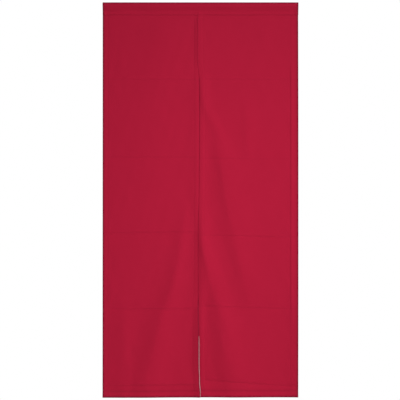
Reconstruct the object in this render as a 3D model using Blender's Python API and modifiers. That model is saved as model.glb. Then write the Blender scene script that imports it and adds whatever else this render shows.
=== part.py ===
"""Long two-panel noren, a door curtain of plain woven cloth that hangs from a rod.

Two hemmed panels hang side by side. Their top edges are caught between the lips of one
sleeve, which runs the full width and takes the rod. The right panel's inner hem laps over
the left panel's. The lap is sewn down to the head of the slit, and is free below it.

Frame: metres, +Z up, the front faces -Y. The origin is at mid-width on the line inside the
sleeve's fold that bears on the rod. A "drop" is a distance below the curtain's top edge.
"""

import math
from collections import namedtuple

import bmesh
import bpy

MM = 0.001

# Overall size of the hung curtain, and its cloth
WIDTH = 850 * MM
LENGTH = 1718 * MM
CLOTH = 1.2 * MM
HEM_CLOTH = 1.8 * MM
GAP = 0.3 * MM

# Sleeve: it bears on the rod with this inner radius, and narrows to its two lips
ROD_RADIUS = 11 * MM
SLEEVE_DROP = 55 * MM
NECK_DROP = 43 * MM
TUCK = 9 * MM
LIP_HALF_GAP = CLOTH / 2 + GAP
ARC_STEPS = 8
WALL_STEPS = 7

# Centre lap: sewn from the sleeve down to the head of the slit. Its full width is reached below the sleeve
LAP_STARTS_MM = 59
LAP_FULL_MM = 63
LAP_FRONT = 1.5 * MM
LAP_BACK = 1.5 * MM
LAP_REACH = 20 * MM
LAP_RUN = 3.5 * MM
SLIT_HEAD = 267 * MM

# Fold memory of the packed curtain: each crease is a fine line on a broad, shallow bend
CREASE_LINE = 10 * MM
CREASE_BEND = 95 * MM
CREASE_BEND_SHARE = 0.7
CREASE_FREE_EDGE = 45 * MM

# Grid of a panel
HEAD_ROWS_MM = (90, 150)
SLIT_COLUMNS_MM = (0, 5, 12)
BODY_COLUMNS = 22
ROWS_ABOVE_FIRST_CREASE = 2
ROWS_BETWEEN_CREASES = 4

# Step at the edge of a hem or of the sleeve, between grid lines
EDGE_STEP = 1.0 * MM

CRIMSON = (0.375, 0.011, 0.034, 1.0)
CLOTH_ROUGHNESS = 0.8

# Left and right panel: the outer edge, the X direction from there to the slit, the widths of the side and
# bottom hems, and how far the bottom hem's outer and inner corners hang below the curtain's top edge
Panel = namedtuple("Panel", "name outer_x to_slit hem bottom_hem outer_length inner_length")
LEFT = Panel("left_panel", -WIDTH / 2, 1, 25 * MM, 25 * MM, LENGTH, LENGTH - 0.6 * MM)
RIGHT = Panel("right_panel", WIDTH / 2, -1, 33 * MM, 29 * MM, LENGTH - 0.8 * MM, LENGTH - 1.0 * MM)

# Inner edges of the two panels, from the tuck in the sleeve down to the bottom hem
EdgePoint = namedtuple("EdgePoint", "drop_mm left_mm right_mm")
INNER_EDGES = (
    EdgePoint(46, -13.65, -13.35),
    EdgePoint(LAP_STARTS_MM, -13.65, -13.35),
    EdgePoint(LAP_FULL_MM, -2.5, -13.35),
    EdgePoint(250, -2.5, -13.35),
    EdgePoint(345, -1.0, -3.5),
    EdgePoint(1200, -1.0, -3.5),
    EdgePoint(1440, -3.3, -4.0),
    EdgePoint(1480, -5.3, -4.2),
    EdgePoint(1718, -7.0, -4.2),
)

# Soft folds: the line of each crest, its height, and its reach towards the slit and outwards
FoldPoint = namedtuple("FoldPoint", "drop_mm x_mm height_mm slit_side_mm outer_side_mm")
LEFT_FOLDS = {
    "free inner edge": (
        FoldPoint(330, -1, 0.0, 20, 36),
        FoldPoint(480, -1, 3.0, 20, 38),
        FoldPoint(860, -1, 3.0, 20, 36),
        FoldPoint(980, -1, 0.8, 20, 26),
        FoldPoint(1180, -1, 0.8, 20, 24),
        FoldPoint(1330, -2, 2.0, 20, 30),
        FoldPoint(1718, -7, 2.6, 20, 34),
    ),
    "from the sleeve's end": (
        FoldPoint(70, -140, 0.0, 80, 100),
        FoldPoint(150, -145, 3.0, 90, 110),
        FoldPoint(280, -165, 2.5, 90, 110),
        FoldPoint(420, -200, 1.5, 90, 110),
        FoldPoint(800, -230, 1.2, 90, 110),
        FoldPoint(960, -240, 0.0, 90, 110),
    ),
    "widening to the hem": (
        FoldPoint(880, -62, 0.0, 18, 20),
        FoldPoint(1030, -84, 3.2, 26, 22),
        FoldPoint(1250, -122, 5.0, 42, 30),
        FoldPoint(1380, -170, 6.5, 60, 38),
        FoldPoint(1500, -198, 8.0, 72, 42),
        FoldPoint(1718, -250, 8.5, 84, 48),
    ),
    "by the outer hem": (
        FoldPoint(1230, -330, 0.0, 24, 22),
        FoldPoint(1400, -334, 2.4, 25, 22),
        FoldPoint(1718, -340, 4.2, 30, 24),
    ),
}
RIGHT_FOLDS = {
    "free inner edge": (
        FoldPoint(268, -13, 0.0, 20, 28),
        FoldPoint(340, -4, 2.8, 20, 28),
        FoldPoint(480, -4, 4.5, 20, 30),
        FoldPoint(860, -4, 4.5, 20, 26),
        FoldPoint(980, -4, 3.0, 20, 17),
        FoldPoint(1100, -4, 2.8, 20, 13),
        FoldPoint(1330, -4, 3.4, 20, 12),
        FoldPoint(1718, -5, 1.6, 20, 11),
    ),
    "from the slit's head": (
        FoldPoint(262, 4, 0.0, 14, 20),
        FoldPoint(424, 14, 2.6, 14, 28),
        FoldPoint(600, 80, 3.4, 24, 38),
        FoldPoint(780, 104, 4.6, 28, 70),
        FoldPoint(950, 134, 5.4, 42, 75),
        FoldPoint(1120, 170, 4.8, 34, 46),
        FoldPoint(1250, 198, 2.6, 36, 60),
        FoldPoint(1420, 235, 0.0, 40, 70),
    ),
    "widening to the hem": (
        FoldPoint(950, 0, 0.0, 18, 30),
        FoldPoint(1060, 11, 3.2, 16, 44),
        FoldPoint(1125, 26, 4.6, 17, 48),
        FoldPoint(1255, 63, 7.2, 38, 54),
        FoldPoint(1385, 92, 8.4, 46, 60),
        FoldPoint(1580, 124, 7.6, 52, 80),
        FoldPoint(1718, 150, 6.0, 60, 95),
    ),
    "short one near the outer hem": (
        FoldPoint(410, 190, 0.0, 16, 26),
        FoldPoint(520, 198, 1.4, 18, 32),
        FoldPoint(610, 204, 1.2, 18, 26),
        FoldPoint(700, 212, 0.0, 18, 24),
    ),
}

# Packing creases: their drop at the outer and inner edge, and their height there (a valley is negative)
Crease = namedtuple("Crease", "outer_mm inner_mm outer_height_mm inner_height_mm")
LEFT_CREASES = (
    Crease(334, 335, -0.3, -1.0),
    Crease(673, 673, -0.5, -0.7),
    Crease(1003, 1000, 0.9, 1.0),
    Crease(1331, 1331, 1.2, 1.3),
    Crease(1666, 1659, 1.2, 1.4),
)
RIGHT_CREASES = (
    Crease(335, 333, -0.3, -0.6),
    Crease(682, 678, -0.4, -0.6),
    Crease(1021, 1011, -0.8, -1.0),
    Crease(1334, 1319, -1.1, -1.2),
    Crease(1666, 1647, -1.2, -1.4),
)


def smooth(t):
    """Eases from 0 to 1 as t goes from 0 to 1."""
    t = min(1.0, max(0.0, t))
    return t * t * (3 - 2 * t)


def mix(a, b, t):
    return a + (b - a) * t


def level(drop):
    """Height of a point that lies this far below the top edge."""
    return CLOTH - drop


def along(at, values, drop):
    """The value at this drop, on a smooth curve through all the values that never overshoots them."""
    if drop <= at[0]:
        return values[0]
    if drop >= at[-1]:
        return values[-1]
    spans = [q - p for p, q in zip(at, at[1:])]
    steps = [(b - a) / span for a, b, span in zip(values, values[1:], spans)]
    slopes = [2 * s * t / (s + t) if s * t > 0 else 0.0 for s, t in zip(steps, steps[1:])]
    slopes = [steps[0]] + slopes + [steps[-1]]
    k = max(index for index, place in enumerate(at) if place <= drop)
    t = (drop - at[k]) / spans[k]
    bend = slopes[k] * (1 - t) - slopes[k + 1] * t
    return mix(values[k], values[k + 1], smooth(t)) + spans[k] * t * (1 - t) * bend


def between(points, drop):
    """The columns of a table of points, in metres, at this drop."""
    at = [point.drop_mm * MM for point in points]
    return [along(at, [value * MM for value in column], drop) for column in zip(*points)]


def inner_edge(panel, drop):
    _, left_x, right_x = between(INNER_EDGES, drop)
    return left_x if panel is LEFT else right_x


def fold_height(panel, points, x, drop):
    """How far one fold stands out at this place."""
    _, crest, height, slit_side, outer_side = between(points, drop)
    past_crest = (x - crest) * panel.to_slit
    reach = slit_side if past_crest > 0 else outer_side
    return height * math.exp(-((past_crest / reach) ** 2))


def crease_drop(crease, inwards):
    return mix(crease.outer_mm, crease.inner_mm, inwards) * MM


def crease_height(crease, inwards, to_slit, drop):
    """A packing crease's line and bend. Both die away at the slit."""
    away = abs(drop - crease_drop(crease, inwards))
    line = max(0.0, 1 - away / CREASE_LINE)
    bend = 1 - smooth(away / CREASE_BEND)
    height = mix(crease.outer_height_mm, crease.inner_height_mm, inwards) * MM
    return height * (line + CREASE_BEND_SHARE * bend) * smooth(to_slit / CREASE_FREE_EDGE)


def lap_height(panel, to_slit, drop):
    """The right inner hem lies in front of the left one."""
    below_lips = smooth((drop - SLEEVE_DROP - GAP) / LAP_RUN)
    offset = -LAP_BACK if panel is LEFT else LAP_FRONT
    return offset * below_lips * math.exp(-((to_slit / LAP_REACH) ** 2))


def cloth_height(panel, x, drop, inwards):
    """How far the front of the cloth stands towards -Y."""
    folds, creases = (LEFT_FOLDS, LEFT_CREASES) if panel is LEFT else (RIGHT_FOLDS, RIGHT_CREASES)
    to_slit = abs(x - inner_edge(panel, drop))
    height = CLOTH / 2 + lap_height(panel, to_slit, drop)
    height += sum(fold_height(panel, points, x, drop) for points in folds.values())
    height += sum(crease_height(crease, inwards, to_slit, drop) for crease in creases)
    return height


def panel_rows(panel, inwards):
    """Drops of a panel's rows, this share of the way from its outer edge to the slit. They follow its creases."""
    creases = LEFT_CREASES if panel is LEFT else RIGHT_CREASES
    end = mix(panel.outer_length, panel.inner_length, inwards)
    rows = [SLEEVE_DROP - TUCK, SLEEVE_DROP + GAP]
    rows += [drop_mm * MM for drop_mm in (LAP_STARTS_MM, LAP_FULL_MM, *HEAD_ROWS_MM)]
    last = rows[-1]
    for crease in creases:
        drop = crease_drop(crease, inwards)
        count = ROWS_ABOVE_FIRST_CREASE if crease is creases[0] else ROWS_BETWEEN_CREASES
        rows += [mix(last, drop - CREASE_LINE, k / (count + 1)) for k in range(1, count + 1)]
        rows += [drop - CREASE_LINE, drop, drop + CREASE_LINE]
        last = drop + CREASE_LINE
    return rows + [end - panel.bottom_hem - EDGE_STEP, end - panel.bottom_hem, end]


def panel_columns(panel):
    """Columns of a panel's grid, each as (edge it is measured from, distance or share)."""
    near_slit = [place_mm * MM for place_mm in SLIT_COLUMNS_MM] + [panel.hem, panel.hem + EDGE_STEP]
    near_outer = [0.0, panel.hem / 2, panel.hem, panel.hem + EDGE_STEP]
    body = [("body", k / (BODY_COLUMNS + 1)) for k in range(1, BODY_COLUMNS + 1)]
    outer = [("outer", distance) for distance in near_outer]
    inner = [("inner", distance) for distance in reversed(near_slit)]
    columns = outer + body + inner
    return columns if panel is LEFT else columns[::-1]


def column_x(panel, column, drop):
    """Where a grid column stands at this drop."""
    edge, distance = column
    slit_x = inner_edge(panel, drop)
    if edge == "outer":
        return panel.outer_x + panel.to_slit * distance
    if edge == "inner":
        return slit_x - panel.to_slit * distance
    margin = panel.to_slit * (panel.hem + EDGE_STEP)
    return mix(panel.outer_x + margin, slit_x - margin, distance)


def in_hem(panel, column, row, rows):
    """Whether a grid point lies on a hem, which is thicker than the single cloth caught in the sleeve."""
    if rows[row] < LAP_FULL_MM * MM:
        return False
    edge, distance = column
    at_side = edge != "body" and distance < panel.hem + EDGE_STEP
    at_bottom = row >= len(rows) - 2
    return at_side or at_bottom


def crimson_cloth(name):
    """The finish of one piece: deep crimson plain weave, matt."""
    material = bpy.data.materials.new(name)
    material.use_nodes = True
    surface = material.node_tree.nodes["Principled BSDF"]
    surface.inputs["Base Color"].default_value = CRIMSON
    surface.inputs["Roughness"].default_value = CLOTH_ROUGHNESS
    surface.inputs["Metallic"].default_value = 0.0
    return material


def grid_object(name, columns, rows, place, at):
    """A grid of columns by rows, bent to shape by place(column, row), as a named object at this spot."""
    mesh = bpy.data.meshes.new(name)
    bm = bmesh.new()
    bmesh.ops.create_grid(bm, x_segments=columns - 1, y_segments=rows - 1, size=1)
    order = []
    for vertex in bm.verts:
        column = round((vertex.co.x + 1) / 2 * (columns - 1))
        row = round((vertex.co.y + 1) / 2 * (rows - 1))
        order.append((column, row))
        vertex.co = [value - origin for value, origin in zip(place(column, row), at)]
    bm.to_mesh(mesh)
    bm.free()
    mesh.materials.append(crimson_cloth(name + "_cloth"))
    mesh.shade_smooth()
    obj = bpy.data.objects.new(name, mesh)
    obj.location = at
    return obj, order


def make_panel(panel):
    """One hemmed panel: a bent sheet, thickened backwards, more so on its hems."""
    columns = panel_columns(panel)
    bottom_up = len(panel_rows(panel, 0.0)) - 1

    def share_inwards(column):
        reach = abs(column_x(panel, columns[column], SLIT_HEAD) - panel.outer_x)
        return reach / abs(inner_edge(panel, SLIT_HEAD) - panel.outer_x)

    def place(column, row):
        inwards = share_inwards(column)
        drop = panel_rows(panel, inwards)[bottom_up - row]
        x = column_x(panel, columns[column], drop)
        return x, -cloth_height(panel, x, drop, inwards), level(drop)

    at = (panel.outer_x / 2, 0.0, level(SLEEVE_DROP))
    obj, order = grid_object(panel.name, len(columns), bottom_up + 1, place, at)
    hems = obj.vertex_groups.new(name="hems")
    rows = panel_rows(panel, 0.0)
    on_hem = [
        index
        for index, (column, row) in enumerate(order)
        if in_hem(panel, columns[column], bottom_up - row, rows)
    ]
    hems.add(on_hem, 1.0, "REPLACE")
    shell = obj.modifiers.new("cloth", "SOLIDIFY")
    shell.thickness = HEM_CLOTH
    shell.offset = -1
    shell.vertex_group = hems.name
    shell.thickness_vertex_group = CLOTH / HEM_CLOTH
    return obj


def sleeve_half_width(depth):
    """Half of the sleeve's inner depth, front to back, this far below the line that bears on the rod."""
    if depth <= ROD_RADIUS:
        return math.sqrt(max(0.0, ROD_RADIUS**2 - (ROD_RADIUS - depth) ** 2))
    neck = smooth((depth - ROD_RADIUS) / (NECK_DROP - ROD_RADIUS))
    return mix(ROD_RADIUS, LIP_HALF_GAP, neck)


def sleeve_profile():
    """Inner line of the sleeve, as (y, z), from its front lip over the rod to its back lip."""
    lip = SLEEVE_DROP - CLOTH
    wall = [lip, mix(lip, NECK_DROP, 0.5)]
    wall += [mix(NECK_DROP, ROD_RADIUS, k / WALL_STEPS) for k in range(WALL_STEPS)]
    front = [(-sleeve_half_width(depth), -depth) for depth in wall]
    arc = [
        (-ROD_RADIUS * math.cos(angle), -ROD_RADIUS + ROD_RADIUS * math.sin(angle))
        for angle in (math.pi / 2 * k / ARC_STEPS for k in range(ARC_STEPS))
    ]
    half = front + arc
    return half + [(0.0, 0.0)] + [(-y, z) for y, z in reversed(half)]


def make_sleeve():
    """The rod sleeve: one strip folded over the rod, its two lips either side of the panels' tops."""
    profile = sleeve_profile()
    half = WIDTH / 2
    columns = (-half, EDGE_STEP - half, half - EDGE_STEP, half)

    def place(column, row):
        y, z = profile[row]
        return columns[column], y, z

    obj, _ = grid_object("rod_sleeve", len(columns), len(profile), place, (0.0, 0.0, 0.0))
    shell = obj.modifiers.new("cloth", "SOLIDIFY")
    shell.thickness = CLOTH
    shell.offset = 1
    shell.use_even_offset = True
    return obj


def main():
    for old in list(bpy.data.objects):
        bpy.data.objects.remove(old, do_unlink=True)
    curtain = bpy.data.collections.new("noren_curtain")
    bpy.context.scene.collection.children.link(curtain)
    hanging_line = bpy.data.objects.new("hanging_line", None)
    curtain.objects.link(hanging_line)
    for obj in (make_sleeve(), make_panel(LEFT), make_panel(RIGHT)):
        curtain.objects.link(obj)
        obj.parent = hanging_line


main()
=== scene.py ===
"""The noren in its finished cloth: a long door curtain of two crimson panels under one rod sleeve.

Metres, +Z up, the front faces -Y. A drop is a distance below the curtain's top edge.
"""

import math
from collections import namedtuple

import bpy
import numpy as np
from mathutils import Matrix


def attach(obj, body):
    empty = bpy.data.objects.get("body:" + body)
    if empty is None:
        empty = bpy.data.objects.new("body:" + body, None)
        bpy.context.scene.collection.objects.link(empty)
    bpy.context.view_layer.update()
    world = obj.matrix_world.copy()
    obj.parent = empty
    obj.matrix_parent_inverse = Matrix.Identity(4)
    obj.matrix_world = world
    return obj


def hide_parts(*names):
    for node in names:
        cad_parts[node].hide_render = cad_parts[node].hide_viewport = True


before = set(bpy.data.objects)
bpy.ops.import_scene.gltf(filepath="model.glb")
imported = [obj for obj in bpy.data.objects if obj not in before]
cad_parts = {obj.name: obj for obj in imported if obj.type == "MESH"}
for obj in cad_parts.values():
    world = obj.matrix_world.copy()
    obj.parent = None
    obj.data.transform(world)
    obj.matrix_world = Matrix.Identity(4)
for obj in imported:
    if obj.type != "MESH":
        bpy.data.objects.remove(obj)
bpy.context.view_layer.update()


# The two panels
# Each is one length of plain crimson cloth. Its sides and then its foot are turned twice to the back and
# lockstitched, and its top edge is caught in the sleeve. It keeps the folds and creases it was packed with.

MM = 0.001

# The cloth: one thickness, a hem's turns pressed flat, how far they lie behind the face, the second turn
# inside them, and how far forward the face hangs
CLOTH = 0.4 * MM
TURNED_CLOTH = 0.7 * MM
HEM_STEP = 0.66 * MM
HUNG_FACE = 0.6 * MM

# Height of the curtain's top edge, then drops: the panels' tucked tops, the sleeve's lips and the foot
TOP_EDGE = 1.2 * MM
TUCKED_FROM = 46 * MM
SLEEVE_DROP = 55 * MM
LENGTH = 1718 * MM

# The right inner hem laps in front of the left one. It is sewn down above the slit's head, with flat cloth
# beside the seam, and below the head the folds come in
SLIT_HEAD = 262 * MM
FREED_OVER = 80 * MM
SEWN_FLAT = 60 * MM

# In front of the lap, the right hem and the cloth beside it stand forwards. Under it, the left hem dips back
LAP_STEP = 0.6 * MM
SEWN_LAP_STEP = 1.15 * MM
LAP_REACH = 26 * MM
UNDER_LAP = 1.1 * MM
UNDER_LAP_STARTS = 1.5 * MM
UNDER_LAP_RUN = 5 * MM

# The seam swells out, further on its right. The swell comes in below the sleeve and goes at the slit's head
SEAM_SWELL = 2.3 * MM
SEAM_SWELL_LEFT = 12 * MM
SEAM_SWELL_RIGHT = 100 * MM
SEAM_SWELLS_OVER = 70 * MM
SEAM_FADES_FROM = 230 * MM
SEAM_FADES_OVER = 100 * MM

# Below the sleeve's lips the cloth swings out to hang nearly flush with them, and its own relief comes in
SWING_OUT = 1.2 * MM
SWING_FROM = 0.3 * MM
SWING_RUN = 7 * MM
RELIEF_FROM = 3 * MM
RELIEF_RUN = 50 * MM

# Hem stitching: how far it runs from the hem's inner side, how it pulls the cloth in on both faces, and the
# puckers along it
STITCHES_IN = 2.6 * MM
STITCH_GROOVE = 1.7 * MM
FRONT_PINCH = 0.25 * MM
BACK_PINCH = 0.10 * MM
PUCKER = 0.1 * MM
PUCKER_REACH = 9 * MM
PUCKER_SIZE = 21 * MM

# The face rises just past a hem's inner side and falls again inside the hem, by a share of that rise. Below
# its stitches, which lie in a valley, the foot hem also puffs out
RISE_STARTS = 1 * MM
RISE_RUN = 5 * MM
FOOT_RISE = 0.3 * MM
FALL_STARTS = 6 * MM
FALL_RUN = 12 * MM
OUTER_FALL_SHARE = 1.6
INNER_FALL_SHARE = 0.3
FOOT_FALL_SHARE = 0.75
FOOT_PUFF = 1.8 * MM
STITCH_VALLEY = 0.8 * MM
VALLEY_REACH = 8 * MM

# How far in from the outer and the inner edge their curls reach
OUTER_CURL_REACH = 9 * MM
INNER_CURL_REACH = 12 * MM

# The foot's layers thin out past the side hems' inner sides, and the face above it is drawn up by half of
# their thickness. The face takes up the lean of its side edges this far clear of both
LAYERS_THIN_OVER = 12 * MM
DRAWN_UP_OVER = 60 * MM
LEAN_CLEAR = 60 * MM

# Creases: each is a fine line on a broad bend, and the cloth steps back a little as it passes down over it.
# The step firms up over a share of the way in from the outer edge. The slit's free edge has no crease
CREASE_LINE = 5 * MM
CREASE_BEND = 95 * MM
CREASE_BEND_SHARE = 0.7
CREASE_FREE_EDGE = 45 * MM
CREASE_STEP_RUN = 3.5 * MM
CREASE_STEP_FADE = 45 * MM
CREASE_OUTER_SHARE = 0.35
CREASE_FIRMS_FROM = 0.12
CREASE_FIRMS_OVER = 0.3

# Slow ripples in the face, which come in past the free edge at the slit
RIPPLE = 0.16 * MM
RIPPLE_ACROSS = 70 * MM
RIPPLE_DOWN = 190 * MM
RIPPLE_FREE_EDGE = 40 * MM

# Spacing of the grid that each panel is drawn on
BODY_STEP = 6.2 * MM
ROW_STEP = 5.2 * MM
TURN_STEPS = 6
CLEAR_OF_HEM = 2.5 * MM
CREASE_ROWS_MM = (-11, -6.5, -3.5, -1.6, 0, 1.6, 3.5, 6.5, 11)
PLAIN_HEM_LINES = 5
GROOVE_STEP = 0.8 * STITCH_GROOVE
GROOVE_CLEAR = 2.2 * GROOVE_STEP

# Side, way to the slit, widths of the outer, inner and foot hems, and length down to each corner
Panel = namedtuple("Panel", "side to_slit outer_hem inner_hem foot_hem outer_length inner_length")
PANELS = (
    Panel("left", 1, 25 * MM, 28 * MM, 29.5 * MM, 1718.8 * MM, 1717.4 * MM),
    Panel("right", -1, 35 * MM, 26 * MM, 30.5 * MM, 1717.0 * MM, 1717.2 * MM),
)
LEFT, RIGHT = PANELS

# X of the four side edges down the curtain
AtEdges = namedtuple("AtEdges", "drop_mm left_outer_mm left_inner_mm right_inner_mm right_outer_mm")
EDGES = (
    AtEdges(46, -424.8, -2.5, -13.4, 424.3),
    AtEdges(258, -424.9, -2.5, -13.2, 424.8),
    AtEdges(290, -424.9, -2.0, -9.4, 424.9),
    AtEdges(345, -425.0, -0.6, -4.4, 425.0),
    AtEdges(430, -425.0, -0.4, -3.0, 425.2),
    AtEdges(800, -425.2, -1.0, -5.0, 425.4),
    AtEdges(1000, -425.3, -2.5, -9.6, 425.4),
    AtEdges(1260, -425.5, -4.0, -9.4, 425.2),
    AtEdges(1310, -425.5, -8.5, -8.5, 425.1),
    AtEdges(1345, -425.5, -8.15, -8.05, 425.0),
    AtEdges(1425, -425.6, -7.1, -7.0, 424.9),
    AtEdges(1475, -425.6, -6.9, -5.8, 424.8),
    AtEdges(1590, -425.7, -6.6, -5.45, 424.6),
    AtEdges(1610, -425.7, -5.6, -4.5, 424.6),
    AtEdges(1634, -425.7, -5.1, -4.0, 424.6),
    AtEdges(1660, -425.7, -4.0, -2.9, 424.6),
    AtEdges(1688, -425.7, -1.6, -0.5, 424.5),
    AtEdges(1718, -425.7, -1.0, 0.1, 424.5),
)

# How far each edge curls to the front (positive) or to the back
CURLS = (
    AtEdges(46, 0.3, 0.2, -0.3, 0.9),
    AtEdges(262, 0.3, 0.0, -0.3, 1.1),
    AtEdges(430, 0.4, -0.7, -0.6, 1.5),
    AtEdges(860, 0.4, -0.8, -0.8, 1.5),
    AtEdges(1000, 0.4, -0.3, -2.5, 1.4),
    AtEdges(1200, 0.4, -0.4, -2.3, 1.4),
    AtEdges(1260, 0.4, -0.7, -2.0, 1.4),
    AtEdges(1308, 0.4, -0.9, -1.5, 1.4),
    AtEdges(1345, 0.4, 1.6, -2.1, 1.3),
    AtEdges(1430, 0.3, 2.2, -1.9, 1.2),
    AtEdges(1510, 0.3, 2.9, -2.6, 1.2),
    AtEdges(1718, 0.3, 3.1, -2.9, 1.2),
)

# How far the face rises over each side hem. It shows most halfway down the right side
RISES = (
    AtEdges(46, 0.1, 0.0, 0.1, 0.15),
    AtEdges(250, 0.1, 0.0, 0.1, 0.15),
    AtEdges(330, 0.1, 0.05, 0.1, 1.15),
    AtEdges(1280, 0.1, 0.1, 0.1, 1.15),
    AtEdges(1400, 0.1, 0.3, 0.1, 0.3),
    AtEdges(1470, 0.1, 0.6, 0.1, 0.2),
    AtEdges(1640, 0.1, 0.6, 0.1, 0.2),
    AtEdges(1718, 0.1, 0.3, 0.1, 0.2),
)

# Soft folds: the line of each crest, its height, and its reach towards the slit and outwards
Crest = namedtuple("Crest", "drop_mm x_mm height_mm slit_side_mm outer_side_mm")
FOLDS = {
    "left": (
        # along the free inner edge
        (
            Crest(262, -1, 0.0, 20, 34),
            Crest(345, -1, 1.2, 20, 36),
            Crest(480, -1, 2.5, 20, 38),
            Crest(860, -1, 2.8, 20, 34),
            Crest(980, -1, 3.8, 20, 20),
            Crest(1180, -1, 3.7, 20, 20),
            Crest(1330, -2, 3.8, 20, 22),
            Crest(1500, -6, 4.2, 20, 25),
            Crest(1718, -7, 4.0, 20, 28),
        ),
        # from under the sleeve
        (
            Crest(70, -140, 0.0, 80, 100),
            Crest(150, -145, 3.0, 90, 110),
            Crest(280, -165, 2.5, 90, 110),
            Crest(420, -200, 1.5, 90, 110),
            Crest(800, -230, 1.2, 90, 110),
            Crest(960, -240, 0.0, 90, 110),
        ),
        # widening down to the foot
        (
            Crest(880, -62, 0.0, 18, 22),
            Crest(1030, -84, 3.2, 26, 27),
            Crest(1250, -122, 5.0, 38, 40),
            Crest(1380, -170, 6.6, 50, 50),
            Crest(1500, -198, 7.5, 60, 52),
            Crest(1718, -250, 5.5, 80, 56),
        ),
        # beside the outer hem
        (
            Crest(1230, -330, 0.0, 26, 32),
            Crest(1400, -332, 1.9, 28, 34),
            Crest(1718, -336, 2.4, 32, 38),
        ),
    ),
    "right": (
        # along the free inner edge
        (
            Crest(268, -13, 0.0, 20, 28),
            Crest(340, -4, 1.2, 20, 28),
            Crest(480, -4, 2.7, 20, 28),
            Crest(860, -4, 3.4, 20, 27),
            Crest(980, -4, 6.0, 20, 37),
            Crest(1060, -4, 6.0, 20, 46),
            Crest(1150, -4, 6.0, 20, 56),
            Crest(1250, -4, 5.6, 20, 40),
            Crest(1330, -4, 4.3, 20, 24),
            Crest(1430, -4, 3.7, 20, 18),
            Crest(1500, -4, 3.0, 20, 15),
            Crest(1718, -3, 2.4, 20, 13),
        ),
        # outwards from the slit's head
        (
            Crest(262, 4, 0.0, 14, 20),
            Crest(424, 14, 2.6, 14, 28),
            Crest(600, 80, 3.6, 40, 40),
            Crest(780, 104, 4.6, 28, 84),
            Crest(950, 134, 4.7, 37, 86),
            Crest(1120, 170, 4.4, 36, 48),
            Crest(1250, 198, 2.6, 36, 60),
            Crest(1420, 235, 0.0, 40, 70),
        ),
        # widening down to the foot
        (
            Crest(950, 0, 0.0, 18, 30),
            Crest(1060, 11, 3.2, 16, 44),
            Crest(1125, 26, 4.6, 17, 48),
            Crest(1255, 63, 7.2, 38, 54),
            Crest(1385, 92, 8.4, 46, 60),
            Crest(1580, 124, 7.6, 52, 80),
            Crest(1718, 150, 6.0, 60, 95),
        ),
        # a short one near the outer hem
        (
            Crest(410, 190, 0.0, 16, 26),
            Crest(520, 198, 1.4, 18, 32),
            Crest(610, 204, 1.2, 18, 26),
            Crest(700, 212, 0.0, 18, 24),
        ),
        # along the outer hem
        (
            Crest(1150, 428, 0.0, 44, 44),
            Crest(1360, 428, 3.2, 44, 44),
            Crest(1718, 428, 3.6, 42, 42),
        ),
    ),
}

# Creases: drop at the outer and inner edge, height there (a valley is negative), and the step back below it
Crease = namedtuple("Crease", "outer_mm inner_mm outer_height_mm inner_height_mm step_mm")
CREASES = {
    "left": (
        Crease(334, 335, -0.3, -0.7, 0.9),
        Crease(673, 673, -0.3, -0.4, 0.7),
        Crease(1001, 996, 0.2, 0.3, 1.5),
        Crease(1331, 1329, 0.3, 0.4, 1.3),
        Crease(1665, 1660, 0.6, 0.8, 3.0),
    ),
    "right": (
        Crease(335, 333, -0.3, -0.5, 0.5),
        Crease(682, 678, -0.2, -0.3, 0.5),
        Crease(1021, 1011, -0.4, -0.6, 1.3),
        Crease(1334, 1319, -0.5, -0.7, 1.2),
        Crease(1672, 1640, -1.2, -1.6, 1.8),
    ),
}


def smooth(t):
    """Eases from 0 to 1 as t goes from 0 to 1."""
    t = np.clip(t, 0.0, 1.0)
    return t * t * (3 - 2 * t)


def mix(a, b, t):
    return a + (b - a) * t


def bump_at(distance, reach):
    """A soft round rise: 1 at its middle, and next to nothing two reaches away."""
    return np.exp(-((distance / reach) ** 2))


def along(points, drop):
    """A table's columns at these drops, in metres, on curves that never overshoot the table's values."""
    at, *columns = np.array(points, dtype=float).T * MM
    spans = np.diff(at)
    part = np.clip(np.searchsorted(at, drop, side="right") - 1, 0, len(spans) - 1)
    t = np.clip((drop - at[part]) / spans[part], 0.0, 1.0)
    curves = []
    for values in columns:
        steps = np.diff(values) / spans
        before, after = steps[:-1], steps[1:]
        same_way = before * after > 0
        slopes = np.where(same_way, 2 * before * after / np.where(same_way, before + after, 1.0), 0.0)
        slopes = np.concatenate([steps[:1], slopes, steps[-1:]])
        bend = slopes[part] * (1 - t) - slopes[part + 1] * t
        curves.append(mix(values[part], values[part + 1], smooth(t)) + spans[part] * t * (1 - t) * bend)
    return curves


def ripples(seed, across, down, waves=12):
    """Soft uneven ripples of about these lengths across and down the cloth, mostly from -1 to 1."""
    draw = np.random.default_rng(seed)
    turns = 2 * math.pi * draw.uniform(0.5, 1.6, (waves, 2)) * draw.choice((-1, 1), (waves, 2))
    starts = draw.uniform(0, 2 * math.pi, waves)

    def height(x, drop):
        total = sum(
            np.sin(turn_x * x / across + turn_drop * drop / down + start)
            for (turn_x, turn_drop), start in zip(turns, starts)
        )
        return total / math.sqrt(waves)

    return height


def turned(behind, stack, turn):
    """How far behind the front, and how far past the fold line, cloth turned over in a stack lies."""
    radius = stack / 2 - behind
    return stack / 2 - radius * np.cos(turn), radius * np.sin(turn)


def at_edges(panel, table, drop):
    """A table's values at a panel's outer and inner edge."""
    left_outer, left_inner, right_inner, right_outer = along(table, drop)
    return (left_outer, left_inner) if panel is LEFT else (right_outer, right_inner)


def folds(panel, x, drop):
    """How far the soft folds stand out."""
    total = 0.0
    for points in FOLDS[panel.side]:
        crest, height, slit_side, outer_side = along(points, drop)
        past = (x - crest) * panel.to_slit
        total = total + height * bump_at(past, np.where(past > 0, slit_side, outer_side))
    return total


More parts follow.
